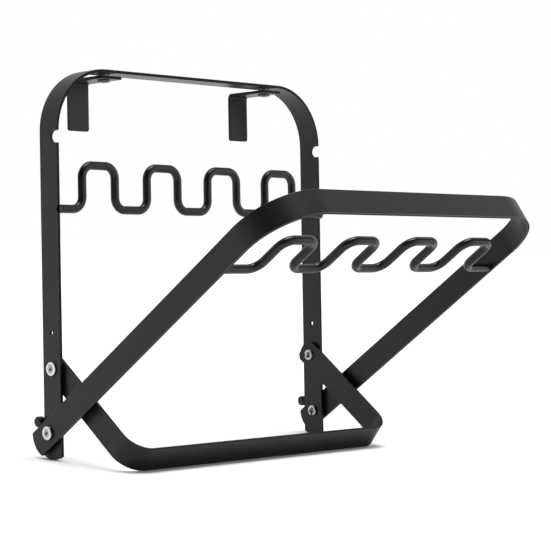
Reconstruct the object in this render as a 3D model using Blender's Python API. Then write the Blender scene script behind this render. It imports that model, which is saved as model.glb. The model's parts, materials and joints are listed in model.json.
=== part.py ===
"""Folding rack of flat steel strip, standing open on the floor.

A back frame leans back on two rounded leg ends. A carrier frame folds down
in front of it onto two stop pegs, a foot frame folds out between its legs to
hold it up, and two swivelling hooks under its crossbar reach over a panel.
A serpentine rest of round bar crosses the back frame and the carrier frame.

Lengths are in metres. X runs across the rack, the front is at -Y and Z is up.
The origin is on the floor, under the middle of the open rack's bounding box.
"""
import math

import bmesh
import bpy
from mathutils import Matrix

MM = 0.001

# Strip and bar stock
STRIP_WIDTH = 25.0 * MM
STRIP_THICK = 3.0 * MM
BAR_RADIUS = 4.15 * MM

# Back frame, measured along its own legs
BACK_WIDTH = 359.2 * MM
BACK_HEIGHT = 370.0 * MM
BACK_CORNER = 61.5 * MM
BACK_LEAN = math.radians(4.25)
LEG_END_RADIUS = 28.0 * MM
CARRIER_PIVOT_HEIGHT = 25.3 * MM
FOOT_PIVOT_HEIGHT = 85.2 * MM
LOCK_HOLE_HEIGHT = 119.0 * MM
LOCK_HOLE_RADIUS = 2.3 * MM
BACK_REST_HEIGHT = 235.0 * MM
BACK_REST_FORWARD = 15.0 * MM
BACK_REST_SHIFT = -8.9 * MM
BACK_REST_LAP = 1.2 * MM
NOTCH_DEPTH = 9.4 * MM
NOTCH_RADIUS = 5.8 * MM
NOTCH_FALL = 0.7 * MM

# Carrier frame, outside the back frame
CARRIER_GAP = 2.3 * MM
CARRIER_REACH = 368.0 * MM
CARRIER_CORNER = 57.3 * MM
CARRIER_TAIL = 24.3 * MM
CARRIER_OPEN = math.radians(56.1)
CARRIER_REST_REACH = 278.5 * MM
CARRIER_REST_SHIFT = 1.25 * MM
CARRIER_REST_INSET = 0.6 * MM

# Foot frame, inside the back frame
FOOT_GAP = 1.2 * MM
FOOT_REACH = 133.5 * MM
FOOT_CORNER = 24.3 * MM
FOOT_TAIL_RADIUS = 13.5 * MM
FOOT_HEEL = 12.6 * MM
FOOT_HEEL_CHAMFER = 4.0 * MM

# Serpentine rests
HUMP_COUNT = 4
HUMP_PITCH = 81.6 * MM
HUMP_WIDTH = 40.6 * MM
BACK_HUMP_RISE = 41.7 * MM
CARRIER_HUMP_RISE = 43.0 * MM
HUMP_BEND = 11.8 * MM

# Swivelling hooks
HOOK_OFFSET = 109.8 * MM
HOOK_DROP = 2.7 * MM
HOOK_FRONT = 11.5 * MM
HOOK_BACK = 41.3 * MM
HOOK_LENGTH = 49.6 * MM
HOOK_BEND = 5.0 * MM
HOOK_END_RADIUS = 2.5 * MM

# Rivets, spacers and stop pegs
PIVOT_SHANK = 4.0 * MM
PIVOT_HEAD = 7.1 * MM
CLINCH_HEAD = 5.9 * MM
CLINCH_HEIGHT = 2.2 * MM
HEAD_HEIGHT = 2.3 * MM
LOW_HEAD_HEIGHT = 1.5 * MM
HOOK_SHANK = 3.0 * MM
HOOK_HEAD = 6.0 * MM
HOOK_TOP_HEAD_HEIGHT = 1.2 * MM
DIMPLE_RATIO = 0.34
DIMPLE_FLOOR_RATIO = 0.24
DIMPLE_DEPTH = 1.0 * MM
HEAD_RIM = 0.5 * MM
SPACER_RADIUS = 8.0 * MM
HOOK_SPACER_RADIUS = 5.5 * MM
BORE_CLEARANCE = 0.1 * MM
FACE_CLEARANCE = 0.2 * MM
PEG_RADIUS = 5.25 * MM
PEG_GAP = 0.25 * MM
PEG_INSET = 0.4 * MM
PEG_DOME = 1.8 * MM
PEG_RECESS_RADIUS = 1.6 * MM
PEG_RECESS_DEPTH = 0.7 * MM
PEG_RECESS_FLOOR_RATIO = 0.7
WELD_GAP = 0.3 * MM

# Facets, and the angles between faces above which an edge stays sharp
CORNER_STEPS = 10
BEND_STEPS = 4
BAR_SIDES = 12
ROUND_SIDES = 20
DOME_STEPS = 3
ARC_STEPS = 8
STRIP_SHARP = math.radians(30)
TURNED_SHARP = math.radians(40)
BAR_SHARP = math.radians(50)

# A cutting outline runs this far outside the strip where it cuts nothing.
OUTLINE_MARGIN = 2.5 * MM
HALF_STRIP = STRIP_WIDTH / 2
OUTLINE_EDGE = HALF_STRIP + OUTLINE_MARGIN

# Places worked out from the dimensions above
PEG_BACK = HALF_STRIP + PEG_GAP + PEG_RADIUS
PEG_UP = PEG_BACK * math.tan(CARRIER_OPEN / 2)
BASE_LIFT = LEG_END_RADIUS * (1 - math.cos(BACK_LEAN))
CARRIER_REST_FORWARD = HALF_STRIP - BAR_RADIUS - CARRIER_REST_INSET
BACK_INNER = BACK_WIDTH / 2 - STRIP_THICK
CARRIER_OUTER = BACK_WIDTH / 2 + CARRIER_GAP + STRIP_THICK
CARRIER_INNER = CARRIER_OUTER - STRIP_THICK
FOOT_OUTER = BACK_INNER - FOOT_GAP
FOOT_INNER = FOOT_OUTER - STRIP_THICK


def foot_open_angle():
    """Turn from the back frame to the foot frame with its crossbar on the floor."""
    pivot_height = BASE_LIFT + FOOT_PIVOT_HEIGHT * math.cos(BACK_LEAN)
    corner_reach = math.hypot(FOOT_REACH, HALF_STRIP)
    corner_angle = math.atan2(HALF_STRIP, FOOT_REACH)
    turn_from_upright = math.acos(-pivot_height / corner_reach) - corner_angle
    return turn_from_upright + BACK_LEAN


def remove_all_objects():
    for old in list(bpy.data.objects):
        bpy.data.objects.remove(old, do_unlink=True)


def make_material(name, colour, roughness, metallic):
    material = bpy.data.materials.new(name)
    material.use_nodes = True
    shader = material.node_tree.nodes["Principled BSDF"]
    shader.inputs["Base Color"].default_value = (*colour, 1.0)
    shader.inputs["Roughness"].default_value = roughness
    shader.inputs["Metallic"].default_value = metallic
    return material


def make_empty(name, parent=None, location=(0, 0, 0), turn_about_x=0.0):
    empty = bpy.data.objects.new(name, None)
    empty.location = location
    empty.rotation_euler = (turn_about_x, 0, 0)
    empty.parent = parent
    bpy.context.scene.collection.objects.link(empty)
    return empty


def make_object(name, bm, material, parent, location=(0, 0, 0), smooth_angle=None):
    """Turn bmesh geometry into a closed, outward-facing, named object."""
    bmesh.ops.recalc_face_normals(bm, faces=bm.faces)
    mesh = bpy.data.meshes.new(name)
    bm.to_mesh(mesh)
    bm.free()
    if smooth_angle:
        mesh.shade_smooth()
        mesh.set_sharp_from_angle(angle=smooth_angle)
    obj = bpy.data.objects.new(name, mesh)
    if material:
        mesh.materials.append(material)
    obj.parent = parent
    obj.location = location
    bpy.context.scene.collection.objects.link(obj)
    return obj


def cut(target, operation, cutter):
    """Cut the target with a guide that shares its parent, and hide the guide."""
    cutter.hide_render = True
    cutter.display_type = "WIRE"
    modifier = target.modifiers.new(cutter.name, "BOOLEAN")
    modifier.operation = operation
    modifier.solver = "EXACT"
    modifier.object = cutter


def arc(centre, radius, start, end, steps):
    """Points of a circle arc, angles in radians from the first axis."""
    points = []
    for step in range(steps + 1):
        angle = start + (end - start) * step / steps
        points.append((centre[0] + radius * math.cos(angle), centre[1] + radius * math.sin(angle)))
    return points


def filleted(corners, radius, steps):
    """Path through square corners with round bends: (point, direction) pairs."""
    def direction(a, b):
        length = math.hypot(b[0] - a[0], b[1] - a[1])
        return ((b[0] - a[0]) / length, (b[1] - a[1]) / length)

    path = [(corners[0], direction(corners[0], corners[1]))]
    for before, corner, after in zip(corners, corners[1:], corners[2:]):
        into = direction(before, corner)
        out = direction(corner, after)
        for step in range(steps + 1):
            turn = math.pi / 2 * step / steps
            along_in = radius * (math.sin(turn) - 1)
            along_out = radius * (1 - math.cos(turn))
            point = (
                corner[0] + along_in * into[0] + along_out * out[0],
                corner[1] + along_in * into[1] + along_out * out[1],
            )
            heading = (
                into[0] * math.cos(turn) + out[0] * math.sin(turn),
                into[1] * math.cos(turn) + out[1] * math.sin(turn),
            )
            path.append((point, heading))
    path.append((corners[-1], direction(corners[-2], corners[-1])))
    return path


def sweep(path, sections):
    """Solid along a path in the XZ plane; a section holds (sideways, Y) offsets."""
    bm = bmesh.new()
    rings = []
    for (point, heading), section in zip(path, sections):
        ring = []
        for sideways, across in section:
            x = point[0] - heading[1] * sideways
            z = point[1] + heading[0] * sideways
            ring.append(bm.verts.new((x, across, z)))
        rings.append(ring)
    for ring, next_ring in zip(rings, rings[1:]):
        count = len(ring)
        for i in range(count):
            j = (i + 1) % count
            bm.faces.new((ring[i], ring[j], next_ring[j], next_ring[i]))
    bm.faces.new(rings[0])
    bm.faces.new(rings[-1])
    return bm


def strip_section(half_width):
    half_thick = STRIP_THICK / 2
    return [
        (-half_thick, -half_width),
        (half_thick, -half_width),
        (half_thick, half_width),
        (-half_thick, half_width),
    ]


def strip_hoop(outer_half_width, reach, corner, tail):
    """Strip on edge, bent into a U: legs along Z, crossbar across at the top."""
    side = outer_half_width - STRIP_THICK / 2
    top = reach - STRIP_THICK / 2
    corners = [(-side, -tail), (-side, top), (side, top), (side, -tail)]
    path = filleted(corners, corner - STRIP_THICK / 2, CORNER_STEPS)
    return sweep(path, [strip_section(HALF_STRIP)] * len(path))


def prism(outline, half_span):
    """Outline in the YZ plane, extruded across X."""
    bm = bmesh.new()
    near = [bm.verts.new((-half_span, y, z)) for y, z in outline]
    far = [bm.verts.new((half_span, y, z)) for y, z in outline]
    bm.faces.new(near)
    bm.faces.new(far)
    for i in range(len(outline)):
        j = (i + 1) % len(outline)
        bm.faces.new((near[i], near[j], far[j], far[i]))
    return bm


def add_cylinder(bm, radius, length, centre, axis):
    matrix = Matrix.Translation(centre)
    if axis == "X":
        matrix = matrix @ Matrix.Rotation(math.pi / 2, 4, "Y")
    bmesh.ops.create_cone(
        bm,
        cap_ends=True,
        segments=ROUND_SIDES,
        radius1=radius,
        radius2=radius,
        depth=length,
        matrix=matrix,
    )


def turned(profile, axis):
    """Solid turned from (along, radius) points; it starts and ends on its axis."""
    bm = bmesh.new()
    rings = []
    for along, radius in profile[1:-1]:
        ring = []
        for side in range(ROUND_SIDES):
            angle = 2 * math.pi * side / ROUND_SIDES
            ring.append(bm.verts.new((along, radius * math.cos(angle), radius * math.sin(angle))))
        rings.append(ring)
    first = bm.verts.new((profile[0][0], 0, 0))
    last = bm.verts.new((profile[-1][0], 0, 0))
    for i in range(ROUND_SIDES):
        j = (i + 1) % ROUND_SIDES
        bm.faces.new((first, rings[0][i], rings[0][j]))
        bm.faces.new((last, rings[-1][j], rings[-1][i]))
        for ring, next_ring in zip(rings, rings[1:]):
            bm.faces.new((ring[i], ring[j], next_ring[j], next_ring[i]))
    if axis == "Z":
        bmesh.ops.rotate(bm, verts=bm.verts, matrix=Matrix.Rotation(-math.pi / 2, 3, "Y"))
    return bm


def head_profile(underside, outward, height, head_radius):
    """Domed head with a dimple, from its axis out to its underside."""
    dimple = head_radius * DIMPLE_RATIO
    dimple_floor = underside + outward * (height - DIMPLE_DEPTH)
    points = [(dimple_floor, 0.0), (dimple_floor, head_radius * DIMPLE_FLOOR_RATIO)]
    for step in range(DOME_STEPS + 1):
        turn = math.pi / 2 * step / DOME_STEPS
        radius = dimple + (head_radius - dimple) * math.sin(turn)
        along = HEAD_RIM + (height - HEAD_RIM) * math.cos(turn)
        points.append((underside + outward * along, radius))
    points.append((underside, head_radius))
    return points


def rivet(low, high, low_head, high_head, shank, axis):
    """Rivet whose (height, radius) heads bear on the planes at low and high along its axis."""
    low_head = head_profile(low - FACE_CLEARANCE, -1, *low_head)
    high_head = head_profile(high + FACE_CLEARANCE, 1, *high_head)
    shank_ends = [(low - FACE_CLEARANCE, shank), (high + FACE_CLEARANCE, shank)]
    return turned(low_head + shank_ends + high_head[::-1], axis)


def washer(low, high, bore, outer, axis):
    """Flat ring between the planes at low and high along its axis."""
    bm = bmesh.new()
    rings = []
    for along, radius in ((low, bore), (low, outer), (high, outer), (high, bore)):
        ring = []
        for side in range(ROUND_SIDES):
            angle = 2 * math.pi * side / ROUND_SIDES
            ring.append(bm.verts.new((along, radius * math.cos(angle), radius * math.sin(angle))))
        rings.append(ring)
    for ring, next_ring in zip(rings, rings[1:] + rings[:1]):
        for i in range(ROUND_SIDES):
            j = (i + 1) % ROUND_SIDES
            bm.faces.new((ring[i], ring[j], next_ring[j], next_ring[i]))
    if axis == "Z":
        bmesh.ops.rotate(bm, verts=bm.verts, matrix=Matrix.Rotation(-math.pi / 2, 3, "Y"))
    return bm


def back_leg_outline():
    """Side view of a back leg: round foot, notch and rest saddle in the front edge."""
    reach = math.asin(OUTLINE_EDGE / LEG_END_RADIUS)
    down = -math.pi / 2
    outline = arc((0, LEG_END_RADIUS), LEG_END_RADIUS, down - reach, down + reach, ARC_STEPS)
    top = BACK_HEIGHT + OUTLINE_MARGIN
    outline += [(OUTLINE_EDGE, top), (-OUTLINE_EDGE, top)]
    # The notch is centred a little below the folded carrier's bar.
    notch_height = CARRIER_PIVOT_HEIGHT + CARRIER_REST_REACH - NOTCH_FALL
    notch_centre = (-HALF_STRIP + NOTCH_DEPTH - NOTCH_RADIUS, notch_height)
    outline.append((-OUTLINE_EDGE, notch_height + NOTCH_RADIUS))
    outline += arc(notch_centre, NOTCH_RADIUS, math.pi / 2, down, ARC_STEPS)
    outline.append((-OUTLINE_EDGE, notch_height - NOTCH_RADIUS))
    saddle = (-BACK_REST_FORWARD, BACK_REST_HEIGHT)
    outline += arc(saddle, BAR_RADIUS + WELD_GAP, math.pi / 2, down, ARC_STEPS)
    return outline


def carrier_leg_outline():
    """Side view of a carrier leg: its tail ends in an arc about the pivot."""
    reach = math.asin(OUTLINE_EDGE / CARRIER_TAIL)
    down = -math.pi / 2
    outline = arc((0, 0), CARRIER_TAIL, down - reach, down + reach, ARC_STEPS)
    top = CARRIER_REACH + OUTLINE_MARGIN
    return outline + [(OUTLINE_EDGE, top), (-OUTLINE_EDGE, top)]


def foot_leg_outline():
    """Side view of a foot leg: a round tail with a chamfered heel on the lower edge."""
    start = math.asin(FOOT_HEEL / FOOT_TAIL_RADIUS) - math.pi
    end = -math.acos(HALF_STRIP / FOOT_TAIL_RADIUS)
    outline = arc((0, 0), FOOT_TAIL_RADIUS, start, end, ARC_STEPS)
    top = FOOT_REACH + OUTLINE_MARGIN
    outline += [(OUTLINE_EDGE, outline[-1][1]), (OUTLINE_EDGE, top), (-OUTLINE_EDGE, top)]
    heel_out = FOOT_HEEL_CHAMFER + OUTLINE_MARGIN
    outline.append((-OUTLINE_EDGE, -FOOT_HEEL + heel_out))
    outline.append((-HALF_STRIP + FOOT_HEEL_CHAMFER, -FOOT_HEEL))
    return outline


def rest_path(shift, rise, end_x):
    """Square-cornered serpentine of humps with straight ends, bent round."""
    corners = [(-end_x, 0)]
    for hump in range(HUMP_COUNT):
        centre = shift + (hump - (HUMP_COUNT - 1) / 2) * HUMP_PITCH
        left = centre - HUMP_WIDTH / 2
        right = centre + HUMP_WIDTH / 2
        corners += [(left, 0), (left, rise), (right, rise), (right, 0)]
    corners.append((end_x, 0))
    return filleted(corners, HUMP_BEND, BEND_STEPS)


def build_rest(name, shift, rise, end_x, location, material, parent):
    path = rest_path(shift, rise, end_x)
    circle = arc((0, 0), BAR_RADIUS, 0, 2 * math.pi, BAR_SIDES)[:-1]
    bm = sweep(path, [circle] * len(path))
    return make_object(name, bm, material, parent, location, BAR_SHARP)


def build_back_frame(material, parent):
    bm = strip_hoop(BACK_WIDTH / 2, BACK_HEIGHT, BACK_CORNER, OUTLINE_MARGIN)
    frame = make_object("back_frame", bm, material, parent, smooth_angle=STRIP_SHARP)
    outline = make_object("back_leg_guide", prism(back_leg_outline(), BACK_WIDTH), None, parent)
    cut(frame, "INTERSECT", outline)
    holes = bmesh.new()
    bore = PIVOT_SHANK + BORE_CLEARANCE
    for height, radius in (
        (CARRIER_PIVOT_HEIGHT, bore),
        (FOOT_PIVOT_HEIGHT, bore),
        (LOCK_HOLE_HEIGHT, LOCK_HOLE_RADIUS),
    ):
        add_cylinder(holes, radius, BACK_WIDTH + STRIP_WIDTH, (0, 0, height), "X")
    for side in (-1, 1):
        top = (side * HOOK_OFFSET, 0, BACK_HEIGHT)
        add_cylinder(holes, HOOK_SHANK + BORE_CLEARANCE, STRIP_WIDTH, top, "Z")
    cut(frame, "DIFFERENCE", make_object("back_frame_holes", holes, None, parent))


def build_folding_frame(name, outer, reach, corner, tail, outline, material, parent):
    """Hoop that turns about the X axis of its parent, with leg tails and pivot holes."""
    bm = strip_hoop(outer, reach, corner, tail)
    frame = make_object(name, bm, material, parent, smooth_angle=STRIP_SHARP)
    guide = make_object(name + "_guide", prism(outline, BACK_WIDTH), None, parent)
    cut(frame, "INTERSECT", guide)
    holes = bmesh.new()
    add_cylinder(holes, PIVOT_SHANK + BORE_CLEARANCE, BACK_WIDTH + STRIP_WIDTH, (0, 0, 0), "X")
    cut(frame, "DIFFERENCE", make_object(name + "_holes", holes, None, parent))


def build_pivot(side, name, height, outer, inner, gap, outer_height, materials, parent):
    """Rivet through two strips, and the spacer between them, on one side."""
    label = "left" if side < 0 else "right"
    zinc, spacer_metal = materials
    low, high = sorted((side * outer, side * inner))
    heads = [(outer_height, PIVOT_HEAD), (CLINCH_HEIGHT, CLINCH_HEAD)]
    if side > 0:
        heads.reverse()
    bm = rivet(low, high, *heads, PIVOT_SHANK, "X")
    place = (0, 0, height)
    make_object(label + "_" + name + "_rivet", bm, zinc, parent, place, TURNED_SHARP)
    near, far = (bound + step * FACE_CLEARANCE for bound, step in zip(gap, (1, -1)))
    low, high = sorted((side * near, side * far))
    bm = washer(low, high, PIVOT_SHANK + BORE_CLEARANCE, SPACER_RADIUS, "X")
    make_object(label + "_" + name + "_spacer", bm, spacer_metal, parent, place, TURNED_SHARP)


def build_peg(side, material, parent):
    """Short stop peg that stands behind the leg's back edge, in the carrier's path."""
    label = "left" if side < 0 else "right"
    start = BACK_INNER - PEG_INSET
    end = CARRIER_OUTER - PEG_INSET
    recess = PEG_RECESS_RADIUS
    cap = [(PEG_RECESS_DEPTH, 0), (PEG_RECESS_DEPTH, recess * PEG_RECESS_FLOOR_RATIO)]
    for step in range(DOME_STEPS + 1):
        turn = math.pi / 2 * step / DOME_STEPS
        radius = recess + (PEG_RADIUS - recess) * math.sin(turn)
        cap.append((PEG_DOME * (1 - math.cos(turn)), radius))
    profile = [(start + depth, radius) for depth, radius in cap]
    profile += [(end - depth, radius) for depth, radius in reversed(cap)]
    bm = turned([(side * along, radius) for along, radius in profile], "X")
    place = (0, PEG_BACK, CARRIER_PIVOT_HEIGHT + PEG_UP)
    make_object(label + "_stop_peg", bm, material, parent, place, TURNED_SHARP)


def build_hook(side, black, zinc, spacer_metal, parent):
    """L-shaped strip hook that swivels on a rivet under the crossbar."""
    label = "left" if side < 0 else "right"
    underside = BACK_HEIGHT - STRIP_THICK
    place = (side * HOOK_OFFSET, 0, underside)
    pivot = make_empty(label + "_hook_pivot", parent, place)

    arm = -HOOK_DROP - STRIP_THICK / 2
    plate = HOOK_BACK - STRIP_THICK / 2
    bottom = -HOOK_DROP - HOOK_LENGTH
    corners = [(-HOOK_FRONT, arm), (plate, arm), (plate, bottom + HOOK_END_RADIUS)]
    path = filleted(corners, HOOK_BEND - STRIP_THICK / 2, BEND_STEPS)
    sections = [strip_section(HALF_STRIP)] * len(path)
    for step in range(1, BEND_STEPS + 1):
        turn = math.pi / 2 * step / BEND_STEPS
        drop = HOOK_END_RADIUS * math.sin(turn)
        narrowing = HOOK_END_RADIUS * (1 - math.cos(turn))
        path.append(((plate, bottom + HOOK_END_RADIUS - drop), (0, -1)))
        sections.append(strip_section(HALF_STRIP - narrowing))
    bm = sweep(path, sections)
    bmesh.ops.rotate(bm, verts=bm.verts, matrix=Matrix.Rotation(math.pi / 2, 3, "Z"))
    hook = make_object(label + "_hook", bm, black, pivot, smooth_angle=STRIP_SHARP)
    hole = bmesh.new()
    bore = HOOK_SHANK + BORE_CLEARANCE
    add_cylinder(hole, bore, STRIP_WIDTH, (0, 0, arm), "Z")
    cut(hook, "DIFFERENCE", make_object(label + "_hook_hole", hole, None, pivot))

    grip_low = -HOOK_DROP - STRIP_THICK
    low_head = (HEAD_HEIGHT, HOOK_HEAD)
    top_head = (HOOK_TOP_HEAD_HEIGHT, HOOK_HEAD)
    bm = rivet(grip_low, STRIP_THICK, low_head, top_head, HOOK_SHANK, "Z")
    make_object(label + "_hook_rivet", bm, zinc, parent, place, TURNED_SHARP)
    bm = washer(
        -HOOK_DROP + FACE_CLEARANCE, -FACE_CLEARANCE, bore, HOOK_SPACER_RADIUS, "Z"
    )
    make_object(label + "_hook_spacer", bm, spacer_metal, parent, place, TURNED_SHARP)


def centre_over_origin(base):
    """Slide the rack along Y until the origin is under the middle of its bounding box."""
    depsgraph = bpy.context.evaluated_depsgraph_get()
    reach = []
    for obj in bpy.data.objects:
        if obj.type == "MESH" and not obj.hide_render:
            solid = obj.evaluated_get(depsgraph)
            reach += [(solid.matrix_world @ vertex.co).y for vertex in solid.data.vertices]
    base.location.y = -(min(reach) + max(reach)) / 2


def build_rack():
    black = make_material("black_powder_coat", (0.012, 0.012, 0.013), 0.45, 0.0)
    zinc = make_material("bright_zinc", (0.72, 0.72, 0.74), 0.3, 1.0)
    spacer_metal = make_material("dull_zinc", (0.45, 0.45, 0.46), 0.5, 1.0)

    base = make_empty("rack_base", None, (0, 0, BASE_LIFT), -BACK_LEAN)
    carrier_place = (0, 0, CARRIER_PIVOT_HEIGHT)
    carrier_pivot = make_empty("carrier_pivot", base, carrier_place, CARRIER_OPEN)
    foot_place = (0, 0, FOOT_PIVOT_HEIGHT)
    foot_pivot = make_empty("foot_pivot", base, foot_place, foot_open_angle())

    build_back_frame(black, base)
    build_folding_frame(
        "carrier_frame", CARRIER_OUTER, CARRIER_REACH, CARRIER_CORNER,
        CARRIER_TAIL + OUTLINE_MARGIN, carrier_leg_outline(), black, carrier_pivot,
    )
    build_folding_frame(
        "foot_frame", FOOT_OUTER, FOOT_REACH, FOOT_CORNER,
        FOOT_TAIL_RADIUS + OUTLINE_MARGIN, foot_leg_outline(), black, foot_pivot,
    )

    back_rest_place = (0, -BACK_REST_FORWARD, BACK_REST_HEIGHT)
    back_rest_end = BACK_INNER + BACK_REST_LAP
    build_rest(
        "back_rest", BACK_REST_SHIFT, BACK_HUMP_RISE, back_rest_end, back_rest_place, black, base
    )
    carrier_rest_place = (0, -CARRIER_REST_FORWARD, CARRIER_REST_REACH)
    build_rest(
        "carrier_rest", CARRIER_REST_SHIFT, CARRIER_HUMP_RISE, CARRIER_INNER - WELD_GAP,
        carrier_rest_place, black, carrier_pivot,
    )

    metals = (zinc, spacer_metal)
    carrier_gap = (BACK_WIDTH / 2, CARRIER_INNER)
    foot_gap = (FOOT_OUTER, BACK_INNER)
    for side in (-1, 1):
        build_pivot(
            side, "carrier", CARRIER_PIVOT_HEIGHT, CARRIER_OUTER, BACK_INNER,
            carrier_gap, HEAD_HEIGHT, metals, base,
        )
        build_pivot(
            side, "foot", FOOT_PIVOT_HEIGHT, BACK_WIDTH / 2, FOOT_INNER,
            foot_gap, LOW_HEAD_HEIGHT, metals, base,
        )
        build_peg(side, black, base)
        build_hook(side, black, zinc, spacer_metal, base)
    centre_over_origin(base)


remove_all_objects()
build_rack()
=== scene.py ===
"""Looks of the folding rack: rounded, powder-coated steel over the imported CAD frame.

Each piece is built finely in the frame of the body that it rides on. The
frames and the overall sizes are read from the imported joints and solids.
"""

import json
import math

import bmesh
import bpy
from mathutils import Matrix, Vector


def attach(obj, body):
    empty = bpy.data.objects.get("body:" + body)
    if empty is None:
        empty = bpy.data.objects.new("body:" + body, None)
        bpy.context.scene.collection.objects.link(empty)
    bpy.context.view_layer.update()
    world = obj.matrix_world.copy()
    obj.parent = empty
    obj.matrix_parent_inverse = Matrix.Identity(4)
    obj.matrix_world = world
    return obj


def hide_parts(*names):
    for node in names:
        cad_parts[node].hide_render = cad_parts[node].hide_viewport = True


MM = 0.001

# Serpentine rests
HUMP_COUNT = 4
HUMP_PITCH = 81.6 * MM
HUMP_WIDTH = 40.6 * MM
HUMP_BEND = 11.8 * MM
BACK_REST_SHIFT = -8.9 * MM
CARRIER_REST_SHIFT = 1.25 * MM
BAR_CHAMFER = 0.5 * MM

# Strip frames
STRIP_THICK = 3.0 * MM
EDGE_ROUND = 0.5 * MM
BACK_CORNER = 61.5 * MM
CARRIER_CORNER = 57.3 * MM
FOOT_CORNER = 24.3 * MM
FOOT_REACH = 133.5 * MM
LEG_END_RADIUS = 28.0 * MM
CARRIER_TAIL = 24.3 * MM
FOOT_TAIL_RADIUS = 13.5 * MM
FOOT_HEEL = 12.6 * MM
FOOT_HEEL_CHAMFER = 4.0 * MM
CARRIER_PIVOT_HEIGHT = 25.3 * MM
LOCK_HOLE_HEIGHT = 119.0 * MM
LOCK_HOLE_RADIUS = 2.3 * MM
NOTCH_DEPTH = 9.4 * MM
NOTCH_RADIUS = 5.8 * MM
NOTCH_FALL = 0.7 * MM
OUTLINE_MARGIN = 2.5 * MM

# Hooks
HOOK_BEND = 5.0 * MM
HOOK_END_RADIUS = 2.5 * MM

# Rivets and stop pegs
PIVOT_SHANK = 4.0 * MM
PIVOT_HEAD = 7.1 * MM
CLINCH_HEAD = 5.9 * MM
HEAD_HEIGHT = 2.3 * MM
LOW_HEAD_HEIGHT = 1.5 * MM
CLINCH_HEIGHT = 2.2 * MM
HOOK_SHANK = 3.0 * MM
HOOK_HEAD = 6.0 * MM
HOOK_TOP_HEAD_HEIGHT = 1.2 * MM
TOP_HEAD_FALL = 0.15 * MM
BORE_CLEARANCE = 0.1 * MM
SPLIT_WIDTH = 2.6 * MM
SPLIT_DEPTH = 2.0 * MM
SPLIT_START = 0.45
PEG_DOME = 1.8 * MM
PEG_DIMPLE = 0.7 * MM

# A pressed head from its dimple out to its rim: depth, and part of the head's radius
HEAD_FACE = (
    (0.9 * MM, 0),
    (0.9 * MM, 0.2),
    (0.25 * MM, 0.29),
    (0.06 * MM, 0.34),
    (0, 0.4),
    (0, 0.55),
    (0.14 * MM, 0.6),
    (0.14 * MM, 0.64),
    (0, 0.7),
)
HEAD_FLAT = 0.7
HEAD_WALL = 0.6 * MM
HEAD_LIP = 0.8 * MM
HEAD_UNDERCUT = 0.2 * MM

# A rolled end: its hole and its ring, as parts of the end's radius
CLINCH_HOLE_DEPTH = 1.9 * MM
CLINCH_HOLE = 0.38
CLINCH_HOLE_EDGE = 0.44
CLINCH_ROLL = 0.28
CLINCH_FOOT = 0.97

# Fineness
CORNER_STEPS = 28
BEND_STEPS = 12
ARC_STEPS = 28
BAR_SIDES = 32
ROUND_SIDES = 48
DOME_STEPS = 8
BEVEL_STEPS = 3
WELD_REACH = 0.002 * MM
SHARP = math.radians(35)

# Sides of a strip's section that are narrow, and the material slots of a strip:
# the second, for narrow and cut faces, is a darker coat of painted shade; the third, for rounded
# edges, a brighter coat of painted highlight.
NARROW_SIDES = (0, 2)
EDGE_SLOT = 1
RIM_HIGHLIGHT_SLOT = 2

# Materials: noise in cycles per metre, and depth of the surface detail
COAT_CLOUDS = 28
COAT_PEEL = 620
COAT_SPECKLE = 2400
COAT_PEEL_DEPTH = 0.02 * MM
COAT_SPECKLE_DEPTH = 0.004 * MM
COAT_GLOSS_SPREAD = 0.04
PLATE_CLOUDS = 260
PLATE_GRAIN = 1800
PLATE_GRAIN_DEPTH = 0.01 * MM
RIVET_ROUGHNESS = (0.2, 0.34)
RIVET_STREAKS = 4
NOISE_LOW = 0.3
NOISE_HIGH = 0.7
FLOOR_TONE = (0.93, 0.93, 0.93, 1)
FLOOR_SIZE = 6.0

# Tone of the rivets' faces, from the axis (0) to the head's rim (1): concentric marks, with painted
# shade in the dimple and at the rim and a painted highlight on the outer band
HEAD_RINGS_AND_PAINTED_LIGHT = (
    (0, 0.16),
    (0.2, 0.12),
    (0.3, 0.5),
    (0.42, 0.6),
    (0.52, 0.35),
    (0.62, 0.85),
    (0.86, 0.95),
    (0.93, 0.12),
)
# Tone of the rolled ends on the same scale: painted shade in the hole and at the roll's foot, a
# painted highlight on the roll's crown
CLINCH_PAINTED_LIGHT = ((0, 0.14), (0.3, 0.08), (0.4, 0.4), (0.6, 0.6), (0.74, 0.4), (0.82, 0.1))

# Studio: brightness of its sides and top, and of the light from above
SIDE_LEVEL = 1.0
TOP_LEVEL = 0.7
OVERHEAD_STRENGTH = 2.6
OVERHEAD_ANGLE = math.radians(34)

# Round patches of the studio: azimuth and elevation, inner and outer angle in degrees, level
BRIGHT_PATCH = (-46, -15, 15, 60, 1.75)
DARK_PATCH = (-148, 38, 30, 62, 0.02)

# Camera
CAMERA_PLACE = (-1.26951, -1.23508, 0.25797)
CAMERA_HEADING = math.radians(45.639)
CAMERA_PITCH = math.radians(2.577)
CAMERA_ROLL = math.radians(2.048)
CAMERA_LENS = 120.59

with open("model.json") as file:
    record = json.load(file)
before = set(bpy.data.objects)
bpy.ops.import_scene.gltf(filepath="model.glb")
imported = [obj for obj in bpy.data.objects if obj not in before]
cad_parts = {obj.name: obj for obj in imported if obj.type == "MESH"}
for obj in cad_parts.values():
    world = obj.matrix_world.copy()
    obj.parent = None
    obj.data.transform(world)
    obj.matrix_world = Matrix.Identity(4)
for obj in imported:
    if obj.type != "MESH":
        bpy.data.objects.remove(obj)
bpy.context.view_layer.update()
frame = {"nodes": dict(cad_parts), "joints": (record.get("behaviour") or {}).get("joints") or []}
joints = {joint["name"]: joint for joint in frame["joints"]}


def turned_about_x(place, angle):
    return Matrix.Translation(place) @ Matrix.Rotation(angle, 4, "X")


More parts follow.
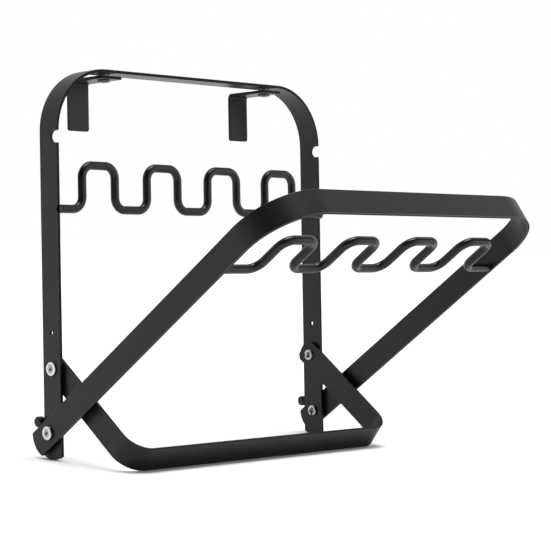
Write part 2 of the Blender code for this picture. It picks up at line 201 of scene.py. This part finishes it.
def local_box(node, place):
    """Lowest and highest corner of a CAD node, measured in a body's own frame."""
    inverse = place.inverted()
    points = [inverse @ vertex.co for vertex in frame["nodes"][node].data.vertices]
    low = Vector([min(point[axis] for point in points) for axis in range(3)])
    high = Vector([max(point[axis] for point in points) for axis in range(3)])
    return low, high


# The back frame's lean is the tilt of the hooks' swivel axis.
hook_axis = joints["right_hook_swivel"]["axis"]
lean = math.atan2(hook_axis[1], hook_axis[2])
carrier_pivot = Vector(joints["carrier_fold"]["pos_m"])
foot_pivot = Vector(joints["foot_fold"]["pos_m"])
carrier_open = math.radians(joints["carrier_fold"]["range_deg"][1])

back_place = turned_about_x(carrier_pivot, -lean) @ Matrix.Translation((0, 0, -CARRIER_PIVOT_HEIGHT))
carrier_place = turned_about_x(carrier_pivot, carrier_open - lean)
back_low, back_high = local_box("back_frame", back_place)
half_strip = back_high.y
outline_edge = half_strip + OUTLINE_MARGIN
foot_pivot_height = (back_place.inverted() @ foot_pivot).z

# The foot frame stands with the lower edge of its crossbar on the floor.
edge_reach = math.hypot(FOOT_REACH, half_strip)
foot_turn = math.acos(-foot_pivot.z / edge_reach) - math.atan2(half_strip, FOOT_REACH)
foot_place = turned_about_x(foot_pivot, foot_turn)


# Materials


def new_material(name):
    material = bpy.data.materials.new(name)
    material.use_nodes = True
    nodes = material.node_tree.nodes
    return material, nodes, material.node_tree.links, nodes["Principled BSDF"]


def noise(nodes, links, scale, detail, roughness):
    """Noise in the object's own coordinates, in cycles per metre."""
    place = nodes.new("ShaderNodeTexCoord")
    texture = nodes.new("ShaderNodeTexNoise")
    texture.inputs["Scale"].default_value = scale
    texture.inputs["Detail"].default_value = detail
    texture.inputs["Roughness"].default_value = roughness
    links.new(place.outputs["Object"], texture.inputs["Vector"])
    return texture.outputs["Fac"]


def spread(nodes, links, value, low, high):
    """Map a noise value onto a range."""
    ramp = nodes.new("ShaderNodeMapRange")
    ramp.inputs["From Min"].default_value = NOISE_LOW
    ramp.inputs["From Max"].default_value = NOISE_HIGH
    ramp.inputs["To Min"].default_value = low
    ramp.inputs["To Max"].default_value = high
    links.new(value, ramp.inputs["Value"])
    return ramp.outputs["Result"]


def bump(nodes, links, height, distance, strength, after=None):
    node = nodes.new("ShaderNodeBump")
    node.inputs["Distance"].default_value = distance
    node.inputs["Strength"].default_value = strength
    links.new(height, node.inputs["Height"])
    if after:
        links.new(after, node.inputs["Normal"])
    return node.outputs["Normal"]


def two_tone(nodes, links, value, dark, light):
    mix = nodes.new("ShaderNodeMix")
    mix.data_type = "RGBA"
    mix.inputs["A"].default_value = (*dark, 1)
    mix.inputs["B"].default_value = (*light, 1)
    links.new(value, mix.inputs["Factor"])
    return mix.outputs["Result"]


def powder_coat(name, dark, light, specular, roughness):
    """Satin black powder coat: fine orange peel, faintly uneven tone and gloss."""
    material, nodes, links, shader = new_material(name)
    clouds = spread(nodes, links, noise(nodes, links, COAT_CLOUDS, 3, 0.55), 0, 1)
    speckle = noise(nodes, links, COAT_SPECKLE, 2, 0.5)
    peel = noise(nodes, links, COAT_PEEL, 2, 0.45)
    links.new(two_tone(nodes, links, clouds, dark, light), shader.inputs["Base Color"])
    smoothest = roughness - COAT_GLOSS_SPREAD
    gloss = spread(nodes, links, speckle, smoothest, roughness + COAT_GLOSS_SPREAD)
    links.new(gloss, shader.inputs["Roughness"])
    shader.inputs["Specular IOR Level"].default_value = specular
    soft = bump(nodes, links, peel, COAT_PEEL_DEPTH, 0.5)
    fine = bump(nodes, links, speckle, COAT_SPECKLE_DEPTH, 0.4, soft)
    links.new(fine, shader.inputs["Normal"])
    return material


def plated_steel(name, dark, light, roughness):
    """Zinc plate: bright metal with cloudy tone and fine scratches."""
    material, nodes, links, shader = new_material(name)
    clouds = spread(nodes, links, noise(nodes, links, PLATE_CLOUDS, 4, 0.6), 0, 1)
    grain = noise(nodes, links, PLATE_GRAIN, 3, 0.6)
    links.new(two_tone(nodes, links, clouds, dark, light), shader.inputs["Base Color"])
    gloss = spread(nodes, links, grain, roughness - 0.06, roughness + 0.08)
    links.new(gloss, shader.inputs["Roughness"])
    shader.inputs["Metallic"].default_value = 1.0
    links.new(bump(nodes, links, grain, PLATE_GRAIN_DEPTH, 0.6), shader.inputs["Normal"])
    return material


def rivet_zinc(name, rings, streaks):
    """Zinc head whose tone changes with the distance from its axis, X, and in streaks; the tones by
    distance paint shade and highlights on the head.
    """
    material, nodes, links, shader = new_material(name)
    place = nodes.new("ShaderNodeTexCoord")
    across = nodes.new("ShaderNodeVectorMath")
    across.operation = "MULTIPLY"
    across.inputs[1].default_value = (0, 1, 1)
    links.new(place.outputs["Object"], across.inputs[0])
    distance = nodes.new("ShaderNodeVectorMath")
    distance.operation = "LENGTH"
    links.new(across.outputs["Vector"], distance.inputs[0])
    reach = nodes.new("ShaderNodeMapRange")
    reach.inputs["From Max"].default_value = PIVOT_HEAD
    links.new(distance.outputs["Value"], reach.inputs["Value"])
    ramp = nodes.new("ShaderNodeValToRGB")
    while len(ramp.color_ramp.elements) < len(rings):
        ramp.color_ramp.elements.new(1)
    for element, (position, level) in zip(ramp.color_ramp.elements, rings):
        element.position = position
        element.color = (level, level, 1.02 * level, 1)
    links.new(reach.outputs["Result"], ramp.inputs["Fac"])
    around = nodes.new("ShaderNodeVectorMath")
    around.operation = "NORMALIZE"
    links.new(across.outputs["Vector"], around.inputs[0])
    marks = nodes.new("ShaderNodeTexNoise")
    marks.inputs["Scale"].default_value = RIVET_STREAKS
    marks.inputs["Detail"].default_value = 3
    links.new(around.outputs["Vector"], marks.inputs["Vector"])
    shade = spread(nodes, links, marks.outputs["Fac"], *streaks)
    tone = nodes.new("ShaderNodeMix")
    tone.data_type = "RGBA"
    tone.blend_type = "MULTIPLY"
    tone.inputs["Factor"].default_value = 1
    links.new(ramp.outputs["Color"], tone.inputs["A"])
    links.new(shade, tone.inputs["B"])
    links.new(tone.outputs["Result"], shader.inputs["Base Color"])
    grain = noise(nodes, links, PLATE_GRAIN, 3, 0.6)
    links.new(spread(nodes, links, grain, *RIVET_ROUGHNESS), shader.inputs["Roughness"])
    shader.inputs["Metallic"].default_value = 1.0
    links.new(bump(nodes, links, grain, PLATE_GRAIN_DEPTH, 0.6), shader.inputs["Normal"])
    return material


# The frames' and hooks' broad faces, their narrow and cut faces (darker, as painted shade), their
# rounded edges (brighter, as a painted highlight), and the bars
black = powder_coat(
    "black_powder_coat", (0.0035, 0.0035, 0.0037), (0.005, 0.005, 0.0052), 0.285, 0.4
)
# Painted shade: a darker copy of the coat on the narrow and cut faces.
edge_painted_shade = powder_coat("edge_painted_shade", (0.0015, 0.0015, 0.0016), (0.0025, 0.0025, 0.0026), 0.14, 0.5)
# Painted highlight: a brighter, glossier copy of the coat on the rounded edges.
rim_painted_highlight = powder_coat("rim_painted_highlight", (0.012, 0.012, 0.0124), (0.018, 0.018, 0.0185), 0.7, 0.4)
strip_coats = (black, edge_painted_shade, rim_painted_highlight)
black_bar = powder_coat("black_bar", (0.0045, 0.0045, 0.0047), (0.006, 0.006, 0.0063), 0.32, 0.29)

# Rivet heads and their rolled ends, toned in rings of painted shade and painted highlight, the hooks'
# rivets and the spacers
zinc = rivet_zinc("bright_zinc", HEAD_RINGS_AND_PAINTED_LIGHT, (0.45, 1.0))
clinch_zinc = rivet_zinc("rolled_zinc", CLINCH_PAINTED_LIGHT, (0.7, 1.0))
dark_zinc = plated_steel("dark_zinc", (0.05, 0.05, 0.052), (0.15, 0.15, 0.155), 0.32)
spacer_metal = plated_steel("dull_zinc", (0.2, 0.2, 0.205), (0.3, 0.3, 0.31), 0.5)


# Shapes


def new_object(name, bm, place):
    bmesh.ops.recalc_face_normals(bm, faces=bm.faces)
    mesh = bpy.data.meshes.new(name)
    bm.to_mesh(mesh)
    bm.free()
    obj = bpy.data.objects.new(name, mesh)
    bpy.context.scene.collection.objects.link(obj)
    obj.matrix_world = place
    return obj


def coat(obj, *materials):
    for material in materials:
        obj.data.materials.append(material)


def arc(centre, radius, start, end, steps=ARC_STEPS):
    points = []
    for step in range(steps + 1):
        angle = start + (end - start) * step / steps
        points.append((centre[0] + radius * math.cos(angle), centre[1] + radius * math.sin(angle)))
    return points


def filleted(corners, radius, steps):
    """Path through square corners with round bends: (point, direction) pairs."""
    def direction(a, b):
        length = math.hypot(b[0] - a[0], b[1] - a[1])
        return ((b[0] - a[0]) / length, (b[1] - a[1]) / length)

    path = [(corners[0], direction(corners[0], corners[1]))]
    for before, corner, after in zip(corners, corners[1:], corners[2:]):
        into = direction(before, corner)
        out = direction(corner, after)
        for step in range(steps + 1):
            turn = math.pi / 2 * step / steps
            along_in = radius * (math.sin(turn) - 1)
            along_out = radius * (1 - math.cos(turn))
            point = (
                corner[0] + along_in * into[0] + along_out * out[0],
                corner[1] + along_in * into[1] + along_out * out[1],
            )
            heading = (
                into[0] * math.cos(turn) + out[0] * math.sin(turn),
                into[1] * math.cos(turn) + out[1] * math.sin(turn),
            )
            path.append((point, heading))
    path.append((corners[-1], direction(corners[-2], corners[-1])))
    return path


def sweep(path, sections, edge_sides=()):
    """Solid along a path in the XZ plane; a section holds (sideways, Y) offsets.

    The faces of the listed sides take the second material, and so do both ends; on the strips this is
    the darker coat, a painted shade.
    """
    bm = bmesh.new()
    rings = []
    for (point, heading), section in zip(path, sections):
        ring = []
        for sideways, across in section:
            x = point[0] - heading[1] * sideways
            z = point[1] + heading[0] * sideways
            ring.append(bm.verts.new((x, across, z)))
        rings.append(ring)
    for ring, next_ring in zip(rings, rings[1:]):
        count = len(ring)
        for i in range(count):
            j = (i + 1) % count
            face = bm.faces.new((ring[i], ring[j], next_ring[j], next_ring[i]))
            face.material_index = EDGE_SLOT if i in edge_sides else 0
    for ring in (rings[0], rings[-1]):
        bm.faces.new(ring).material_index = EDGE_SLOT if edge_sides else 0
    return bm


def strip_section(half_width):
    half_thick = STRIP_THICK / 2
    return [
        (-half_thick, -half_width),
        (half_thick, -half_width),
        (half_thick, half_width),
        (-half_thick, half_width),
    ]


def strip_hoop(outer, reach, corner, tail):
    """Strip on edge, bent into a U: legs along Z, crossbar across at the top."""
    side = outer - STRIP_THICK / 2
    top = reach - STRIP_THICK / 2
    corners = [(-side, -tail), (-side, top), (side, top), (side, -tail)]
    path = filleted(corners, corner - STRIP_THICK / 2, CORNER_STEPS)
    return sweep(path, [strip_section(half_strip)] * len(path), NARROW_SIDES)


def prism(outline, half_span):
    """Outline in the YZ plane, extruded across X."""
    bm = bmesh.new()
    near = [bm.verts.new((-half_span, y, z)) for y, z in outline]
    far = [bm.verts.new((half_span, y, z)) for y, z in outline]
    bm.faces.new(near)
    bm.faces.new(far)
    for i in range(len(outline)):
        j = (i + 1) % len(outline)
        bm.faces.new((near[i], near[j], far[j], far[i]))
    return bm


def add_cylinder(bm, radius, length, centre, axis):
    matrix = Matrix.Translation(centre)
    if axis == "X":
        matrix = matrix @ Matrix.Rotation(math.pi / 2, 4, "Y")
    bmesh.ops.create_cone(
        bm,
        cap_ends=True,
        segments=ROUND_SIDES,
        radius1=radius,
        radius2=radius,
        depth=length,
        matrix=matrix,
    )


def carved(obj, cuts, rounding=EDGE_ROUND):
    """Cut an object, round its sharp edges and keep the result as its mesh.

    The cut faces take the second material and the rounded edges the third; on the strips these are a
    painted shade and a painted highlight.
    """
    guides = []
    for operation, bm in cuts:
        guide = new_object("guide", bm, obj.matrix_world)
        coat(guide, *obj.data.materials)
        for polygon in guide.data.polygons:
            polygon.material_index = EDGE_SLOT
        guides.append(guide)
        modifier = obj.modifiers.new("cut", "BOOLEAN")
        modifier.operation = operation
        modifier.solver = "EXACT"
        modifier.object = guide
    if rounding:
        bevel = obj.modifiers.new("round", "BEVEL")
        bevel.width = rounding
        bevel.segments = BEVEL_STEPS
        bevel.limit_method = "ANGLE"
        bevel.angle_limit = SHARP
        # The rounded edges take the brighter coat: a painted highlight.
        bevel.material = RIM_HIGHLIGHT_SLOT
        weld = obj.modifiers.new("weld", "WELD")
        weld.merge_threshold = WELD_REACH
        weighted = obj.modifiers.new("flat", "WEIGHTED_NORMAL")
        weighted.keep_sharp = True
        for polygon in obj.data.polygons:
            polygon.use_smooth = True
    depsgraph = bpy.context.evaluated_depsgraph_get()
    mesh = bpy.data.meshes.new_from_object(obj.evaluated_get(depsgraph), depsgraph=depsgraph)
    obj.modifiers.clear()
    obj.data = mesh
    for guide in guides:
        bpy.data.objects.remove(guide)
    return obj


def settle(obj):
    """Move an object's place into its mesh, so that its box fits its shape."""
    obj.data.transform(obj.matrix_world)
    obj.matrix_world = Matrix()


def finish_piece(obj, body, node):
    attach(obj, body)
    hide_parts(node)


# Frames


def back_leg_outline():
    reach = math.asin(outline_edge / LEG_END_RADIUS)
    down = -math.pi / 2
    outline = arc((0, LEG_END_RADIUS), LEG_END_RADIUS, down - reach, down + reach)
    top = back_high.z + OUTLINE_MARGIN
    outline += [(outline_edge, top), (-outline_edge, top)]
    rest_low, rest_high = local_box("carrier_rest", carrier_place)
    folded_bar = CARRIER_PIVOT_HEIGHT + rest_low.z + (rest_high.y - rest_low.y) / 2
    notch_height = folded_bar - NOTCH_FALL
    notch_centre = (-half_strip + NOTCH_DEPTH - NOTCH_RADIUS, notch_height)
    outline.append((-outline_edge, notch_height + NOTCH_RADIUS))
    outline += arc(notch_centre, NOTCH_RADIUS, math.pi / 2, down)
    outline.append((-outline_edge, notch_height - NOTCH_RADIUS))
    low, high = local_box("back_rest", back_place)
    bar = (high.y - low.y) / 2
    outline += arc(((low.y + high.y) / 2, low.z + bar), bar, math.pi / 2, down)
    return outline


def carrier_leg_outline(reach_up):
    reach = math.asin(outline_edge / CARRIER_TAIL)
    down = -math.pi / 2
    outline = arc((0, 0), CARRIER_TAIL, down - reach, down + reach)
    top = reach_up + OUTLINE_MARGIN
    return outline + [(outline_edge, top), (-outline_edge, top)]


def foot_leg_outline(reach_up):
    start = math.asin(FOOT_HEEL / FOOT_TAIL_RADIUS) - math.pi
    end = -math.acos(half_strip / FOOT_TAIL_RADIUS)
    outline = arc((0, 0), FOOT_TAIL_RADIUS, start, end)
    top = reach_up + OUTLINE_MARGIN
    outline += [(outline_edge, outline[-1][1]), (outline_edge, top), (-outline_edge, top)]
    heel_out = FOOT_HEEL_CHAMFER + OUTLINE_MARGIN
    outline.append((-outline_edge, -FOOT_HEEL + heel_out))
    outline.append((-half_strip + FOOT_HEEL_CHAMFER, -FOOT_HEEL))
    return outline


def build_back_frame():
    span = back_high.x + OUTLINE_MARGIN
    bm = strip_hoop(back_high.x, back_high.z, BACK_CORNER, OUTLINE_MARGIN)
    frame_piece = new_object("back_frame_strip", bm, back_place)
    holes = bmesh.new()
    bore = PIVOT_SHANK + BORE_CLEARANCE
    for height, radius in (
        (CARRIER_PIVOT_HEIGHT, bore),
        (foot_pivot_height, bore),
        (LOCK_HOLE_HEIGHT, LOCK_HOLE_RADIUS),
    ):
        add_cylinder(holes, radius, 2 * span, (0, 0, height), "X")
    for name in ("left_hook_swivel", "right_hook_swivel"):
        top = back_place.inverted() @ Vector(joints[name]["pos_m"])
        add_cylinder(holes, HOOK_SHANK + BORE_CLEARANCE, 4 * STRIP_THICK, top, "Z")
    coat(frame_piece, *strip_coats)
    carved(frame_piece, [("INTERSECT", prism(back_leg_outline(), span)), ("DIFFERENCE", holes)])
    settle(frame_piece)
    finish_piece(frame_piece, "rack_body", "back_frame")


def build_folding_frame(node, place, corner, tail, outline, body):
    high = local_box(node, place)[1]
    span = high.x + OUTLINE_MARGIN
    bm = strip_hoop(high.x, high.z, corner, tail + OUTLINE_MARGIN)
    frame_piece = new_object(node + "_strip", bm, place)
    holes = bmesh.new()
    add_cylinder(holes, PIVOT_SHANK + BORE_CLEARANCE, 2 * span, (0, 0, 0), "X")
    coat(frame_piece, *strip_coats)
    carved(frame_piece, [("INTERSECT", prism(outline(high.z), span)), ("DIFFERENCE", holes)])
    settle(frame_piece)
    finish_piece(frame_piece, body, node)


# Rests


def build_rest(node, place, shift, body):
    """Round bar bent into humps, with chamfered ends."""
    low, high = local_box(node, place)
    bar = (high.y - low.y) / 2
    rise = high.z - low.z - 2 * bar
    end_x = high.x
    corners = [(-end_x, 0)]
    for hump in range(HUMP_COUNT):
        centre = shift + (hump - (HUMP_COUNT - 1) / 2) * HUMP_PITCH
        left = centre - HUMP_WIDTH / 2
        right = centre + HUMP_WIDTH / 2
        corners += [(left, 0), (left, rise), (right, rise), (right, 0)]
    corners.append((end_x, 0))
    path = filleted(corners, HUMP_BEND, BEND_STEPS)
    path.insert(1, ((-end_x + BAR_CHAMFER, 0), (1, 0)))
    path.insert(-1, ((end_x - BAR_CHAMFER, 0), (1, 0)))
    circle = arc((0, 0), bar, 0, 2 * math.pi, BAR_SIDES)[:-1]
    sawn = arc((0, 0), bar - BAR_CHAMFER, 0, 2 * math.pi, BAR_SIDES)[:-1]
    sections = [sawn] + [circle] * (len(path) - 2) + [sawn]
    bar_place = place @ Matrix.Translation((0, (low.y + high.y) / 2, low.z + bar))
    rest = new_object(node + "_bar", sweep(path, sections), bar_place)
    rest.data.shade_smooth()
    rest.data.set_sharp_from_angle(angle=SHARP)
    coat(rest, black_bar)
    settle(rest)
    finish_piece(rest, body, node)


# Hooks


def build_hook(label):
    """L-shaped strip with rounded lower corners."""
    pivot = Vector(joints[label + "_hook_swivel"]["pos_m"])
    place = turned_about_x(pivot, -lean)
    low, high = local_box(label + "_hook", place)
    arm = high.z - STRIP_THICK / 2
    plate = high.y - STRIP_THICK / 2
    corners = [(low.y, arm), (plate, arm), (plate, low.z + HOOK_END_RADIUS)]
    path = filleted(corners, HOOK_BEND - STRIP_THICK / 2, BEND_STEPS)
    half_width = high.x
    sections = [strip_section(half_width)] * len(path)
    for step in range(1, BEND_STEPS + 1):
        turn = math.pi / 2 * step / BEND_STEPS
        drop = HOOK_END_RADIUS * math.sin(turn)
        narrowing = HOOK_END_RADIUS * (1 - math.cos(turn))
        path.append(((plate, low.z + HOOK_END_RADIUS - drop), (0, -1)))
        sections.append(strip_section(half_width - narrowing))
    bm = sweep(path, sections, NARROW_SIDES)
    bmesh.ops.rotate(bm, verts=bm.verts, matrix=Matrix.Rotation(math.pi / 2, 3, "Z"))
    hook = new_object(label + "_hook_strip", bm, place)
    hole = bmesh.new()
    add_cylinder(hole, HOOK_SHANK + BORE_CLEARANCE, 4 * STRIP_THICK, (0, 0, arm), "Z")
    coat(hook, *strip_coats)
    carved(hook, [("DIFFERENCE", hole)])
    settle(hook)
    finish_piece(hook, label + "_hook_arm", label + "_hook")


# Rivets, spacers and pegs


def turned(profile):
    """Solid turned about X from (along, radius) points; it starts and ends on the axis."""
    bm = bmesh.new()
    rings = []
    for along, radius in profile[1:-1]:
        circle = arc((0, 0), radius, 0, 2 * math.pi, ROUND_SIDES)[:-1]
        rings.append([bm.verts.new((along, y, z)) for y, z in circle])
    first = bm.verts.new((profile[0][0], 0, 0))
    last = bm.verts.new((profile[-1][0], 0, 0))
    for i in range(ROUND_SIDES):
        j = (i + 1) % ROUND_SIDES
        bm.faces.new((first, rings[0][i], rings[0][j]))
        bm.faces.new((last, rings[-1][j], rings[-1][i]))
        for ring, next_ring in zip(rings, rings[1:]):
            bm.faces.new((ring[i], ring[j], next_ring[j], next_ring[i]))
    return bm


def pressed_head(height, radius):
    """(depth, radius) points of a head with a dimple and a ring, from its axis out."""
    points = [(depth, part * radius) for depth, part in HEAD_FACE]
    for step in range(1, DOME_STEPS + 1):
        turn = math.pi / 2 * step / DOME_STEPS
        depth = (height - HEAD_WALL) * (1 - math.cos(turn))
        points.append((depth, radius * (HEAD_FLAT + (1 - HEAD_FLAT) * math.sin(turn))))
    underside = height - HEAD_UNDERCUT
    neck = radius - HEAD_LIP
    return points + [(underside, radius), (underside, neck), (height, neck)]


def clinched_end(height, radius):
    """(depth, radius) points of a hollow end rolled over into a ring."""
    roll = CLINCH_ROLL * radius
    points = [(CLINCH_HOLE_DEPTH, 0), (CLINCH_HOLE_DEPTH, CLINCH_HOLE * radius)]
    points.append((roll, CLINCH_HOLE_EDGE * radius))
    for step in range(1, 2 * DOME_STEPS):
        turn = math.pi * step / (2 * DOME_STEPS)
        points.append((roll * (1 - math.sin(turn)), radius - roll - roll * math.cos(turn)))
    return points + [(roll, radius), (height, CLINCH_FOOT * radius)]


def build_turned(node, place, start, end, shank, materials):
    """Turned piece for a node, with its start at the frame's -X end.

    A second material goes on the half that is toward +X.
    """
    low, high = local_box(node, place)
    length = high.x - low.x
    profile = list(start)
    if shank:
        profile += [(start[-1][0], shank), (length - end[-1][0], shank)]
    profile += [(length - depth, radius) for depth, radius in reversed(end)]
    piece_place = place @ Matrix.Translation((low.x, 0, 0))
    piece = new_object(node + "_turned", turned(profile), piece_place)
    coat(piece, *materials)
    if len(materials) > 1:
        for polygon in piece.data.polygons:
            polygon.material_index = EDGE_SLOT if polygon.center.x > length / 2 else 0
    return piece


def smooth(piece):
    piece.data.shade_smooth()
    piece.data.set_sharp_from_angle(angle=SHARP)


def split_end(piece, turn):
    """Open the rolled end of a rivet, at its +X end, with a slot on one side.

    The slot starts at SPLIT_START of the end's radius. At a turn of 0 it points down the leg.
    """
    end = max(vertex.co.x for vertex in piece.data.vertices)
    slot = bmesh.new()
    size = (2 * SPLIT_DEPTH, SPLIT_WIDTH, CLINCH_HEAD)
    centre = Vector((end, 0, -(SPLIT_START + 0.5) * CLINCH_HEAD))
    matrix = Matrix.Rotation(turn, 4, "X") @ Matrix.Translation(centre) @ Matrix.Diagonal((*size, 1))
    bmesh.ops.create_cube(slot, size=1, matrix=matrix)
    carved(piece, [("DIFFERENCE", slot)], rounding=0)


def facing_out(side, height):
    """Frame on a cross pivot of the back frame, its -X axis pointing out of the rack."""
    turn = Matrix.Rotation(0 if side < 0 else math.pi, 4, "Z")
    return back_place @ Matrix.Translation((0, 0, height)) @ turn


def build_pivot_rivets(side, label):
    clinch = clinched_end(CLINCH_HEIGHT, CLINCH_HEAD)
    for name, height, head, split in (
        ("carrier", CARRIER_PIVOT_HEIGHT, HEAD_HEIGHT, 0),
        ("foot", foot_pivot_height, LOW_HEAD_HEIGHT, -math.pi / 2),
    ):
        node = label + "_" + name + "_rivet"
        place = facing_out(side, height)
        head_profile = pressed_head(head, PIVOT_HEAD)
        piece = build_turned(node, place, head_profile, clinch, PIVOT_SHANK, [zinc, clinch_zinc])
        split_end(piece, split)
        smooth(piece)
        finish_piece(piece, "rack_body", node)


def build_hook_rivet(label):
    node = label + "_hook_rivet"
    pivot = Vector(joints[label + "_hook_swivel"]["pos_m"])
    place = turned_about_x(pivot, -lean) @ Matrix.Rotation(-math.pi / 2, 4, "Y")
    low_head = pressed_head(HEAD_HEIGHT, HOOK_HEAD)
    top_head = pressed_head(HOOK_TOP_HEAD_HEIGHT - TOP_HEAD_FALL, HOOK_HEAD)
    top_head = [(depth + TOP_HEAD_FALL, radius) for depth, radius in top_head]
    piece = build_turned(node, place, low_head, top_head, HOOK_SHANK, [dark_zinc])
    smooth(piece)
    settle(piece)
    finish_piece(piece, "rack_body", node)


def build_stop_peg(label):
    """Short pin with domed ends and a dimple in each."""
    node = label + "_stop_peg"
    low, high = local_box(node, back_place)
    peg = (high.y - low.y) / 2
    centre = back_place @ Matrix.Translation((0, (low.y + high.y) / 2, (low.z + high.z) / 2))
    cap = [(PEG_DIMPLE, 0), (PEG_DIMPLE, 0.2 * peg), (0.1 * MM, 0.3 * peg)]
    for step in range(DOME_STEPS + 1):
        turn = math.pi / 2 * step / DOME_STEPS
        cap.append((PEG_DOME * (1 - math.cos(turn)), peg * (0.36 + 0.64 * math.sin(turn))))
    piece = build_turned(node, centre, cap, cap, 0, [black_bar])
    smooth(piece)
    finish_piece(piece, "rack_body", node)


def coat_spacers(label):
    for name in ("carrier", "foot", "hook"):
        spacer = frame["nodes"][label + "_" + name + "_spacer"]
        spacer.data.materials.clear()
        coat(spacer, spacer_metal)


build_back_frame()
build_folding_frame(
    "carrier_frame", carrier_place, CARRIER_CORNER, CARRIER_TAIL, carrier_leg_outline, "carrier"
)
build_folding_frame("foot_frame", foot_place, FOOT_CORNER, FOOT_TAIL_RADIUS, foot_leg_outline, "foot")
build_rest("back_rest", back_place, BACK_REST_SHIFT, "rack_body")
build_rest("carrier_rest", carrier_place, CARRIER_REST_SHIFT, "carrier")
build_hook("left")
build_hook("right")

for side, label in ((-1, "left"), (1, "right")):
    build_pivot_rivets(side, label)
    build_hook_rivet(label)
    build_stop_peg(label)
    coat_spacers(label)


# Floor, light and camera


def build_floor():
    bm = bmesh.new()
    bmesh.ops.create_grid(bm, x_segments=1, y_segments=1, size=FLOOR_SIZE)
    floor = new_object("floor", bm, Matrix())
    material, _, _, shader = new_material("pale_floor")
    shader.inputs["Base Color"].default_value = FLOOR_TONE
    shader.inputs["Roughness"].default_value = 0.9
    shader.inputs["Specular IOR Level"].default_value = 0.1
    coat(floor, material)


def build_world():
    """White studio, dimmer overhead, with a dark patch over the camera and a bright one on its right.

    The camera itself sees plain white.
    """
    world = bpy.data.worlds.new("studio")
    world.use_nodes = True
    nodes = world.node_tree.nodes
    links = world.node_tree.links
    place = nodes.new("ShaderNodeTexCoord")

    def patch(azimuth, elevation, inner, outer, level):
        """Round patch of the studio wall, as a factor on its brightness."""
        toward = nodes.new("ShaderNodeVectorMath")
        toward.operation = "DOT_PRODUCT"
        azimuth = math.radians(azimuth)
        elevation = math.radians(elevation)
        toward.inputs[1].default_value = (
            math.cos(azimuth) * math.cos(elevation),
            math.sin(azimuth) * math.cos(elevation),
            math.sin(elevation),
        )
        links.new(place.outputs["Generated"], toward.inputs[0])
        factor = nodes.new("ShaderNodeMapRange")
        factor.interpolation_type = "SMOOTHSTEP"
        factor.inputs["From Min"].default_value = math.cos(math.radians(outer))
        factor.inputs["From Max"].default_value = math.cos(math.radians(inner))
        factor.inputs["To Min"].default_value = 1
        factor.inputs["To Max"].default_value = level
        links.new(toward.outputs["Value"], factor.inputs["Value"])
        return factor.outputs["Result"]

    def times(a, b):
        product = nodes.new("ShaderNodeMath")
        product.operation = "MULTIPLY"
        links.new(a, product.inputs[0])
        links.new(b, product.inputs[1])
        return product.outputs["Value"]

    height = nodes.new("ShaderNodeSeparateXYZ")
    links.new(place.outputs["Generated"], height.inputs["Vector"])
    sky = nodes.new("ShaderNodeMapRange")
    sky.inputs["From Min"].default_value = 0.1
    sky.inputs["To Min"].default_value = SIDE_LEVEL
    sky.inputs["To Max"].default_value = TOP_LEVEL
    links.new(height.outputs["Z"], sky.inputs["Value"])

    light = times(times(patch(*DARK_PATCH), patch(*BRIGHT_PATCH)), sky.outputs["Result"])
    ray = nodes.new("ShaderNodeLightPath")
    seen = nodes.new("ShaderNodeMath")
    seen.operation = "MAXIMUM"
    links.new(light, seen.inputs[0])
    links.new(ray.outputs["Is Camera Ray"], seen.inputs[1])
    links.new(seen.outputs["Value"], nodes["Background"].inputs["Strength"])
    nodes["Background"].inputs["Color"].default_value = (1, 1, 1, 1)
    bpy.context.scene.world = world


def build_overhead_light():
    """Wide soft light from straight above, even all over the floor."""
    light = bpy.data.lights.new("overhead", "SUN")
    light.energy = OVERHEAD_STRENGTH
    light.angle = OVERHEAD_ANGLE
    obj = bpy.data.objects.new("overhead", light)
    bpy.context.scene.collection.objects.link(obj)


def build_camera():
    data = bpy.data.cameras.new("camera")
    data.lens = CAMERA_LENS
    camera = bpy.data.objects.new("camera", data)
    bpy.context.scene.collection.objects.link(camera)
    camera.matrix_world = (
        Matrix.Translation(CAMERA_PLACE)
        @ Matrix.Rotation(-CAMERA_HEADING, 4, "Z")
        @ Matrix.Rotation(math.pi / 2 - CAMERA_PITCH, 4, "X")
        @ Matrix.Rotation(CAMERA_ROLL, 4, "Z")
    )
    bpy.context.scene.camera = camera


build_floor()
build_world()
build_overhead_light()
build_camera()
bpy.context.scene.view_settings.view_transform = "Standard"
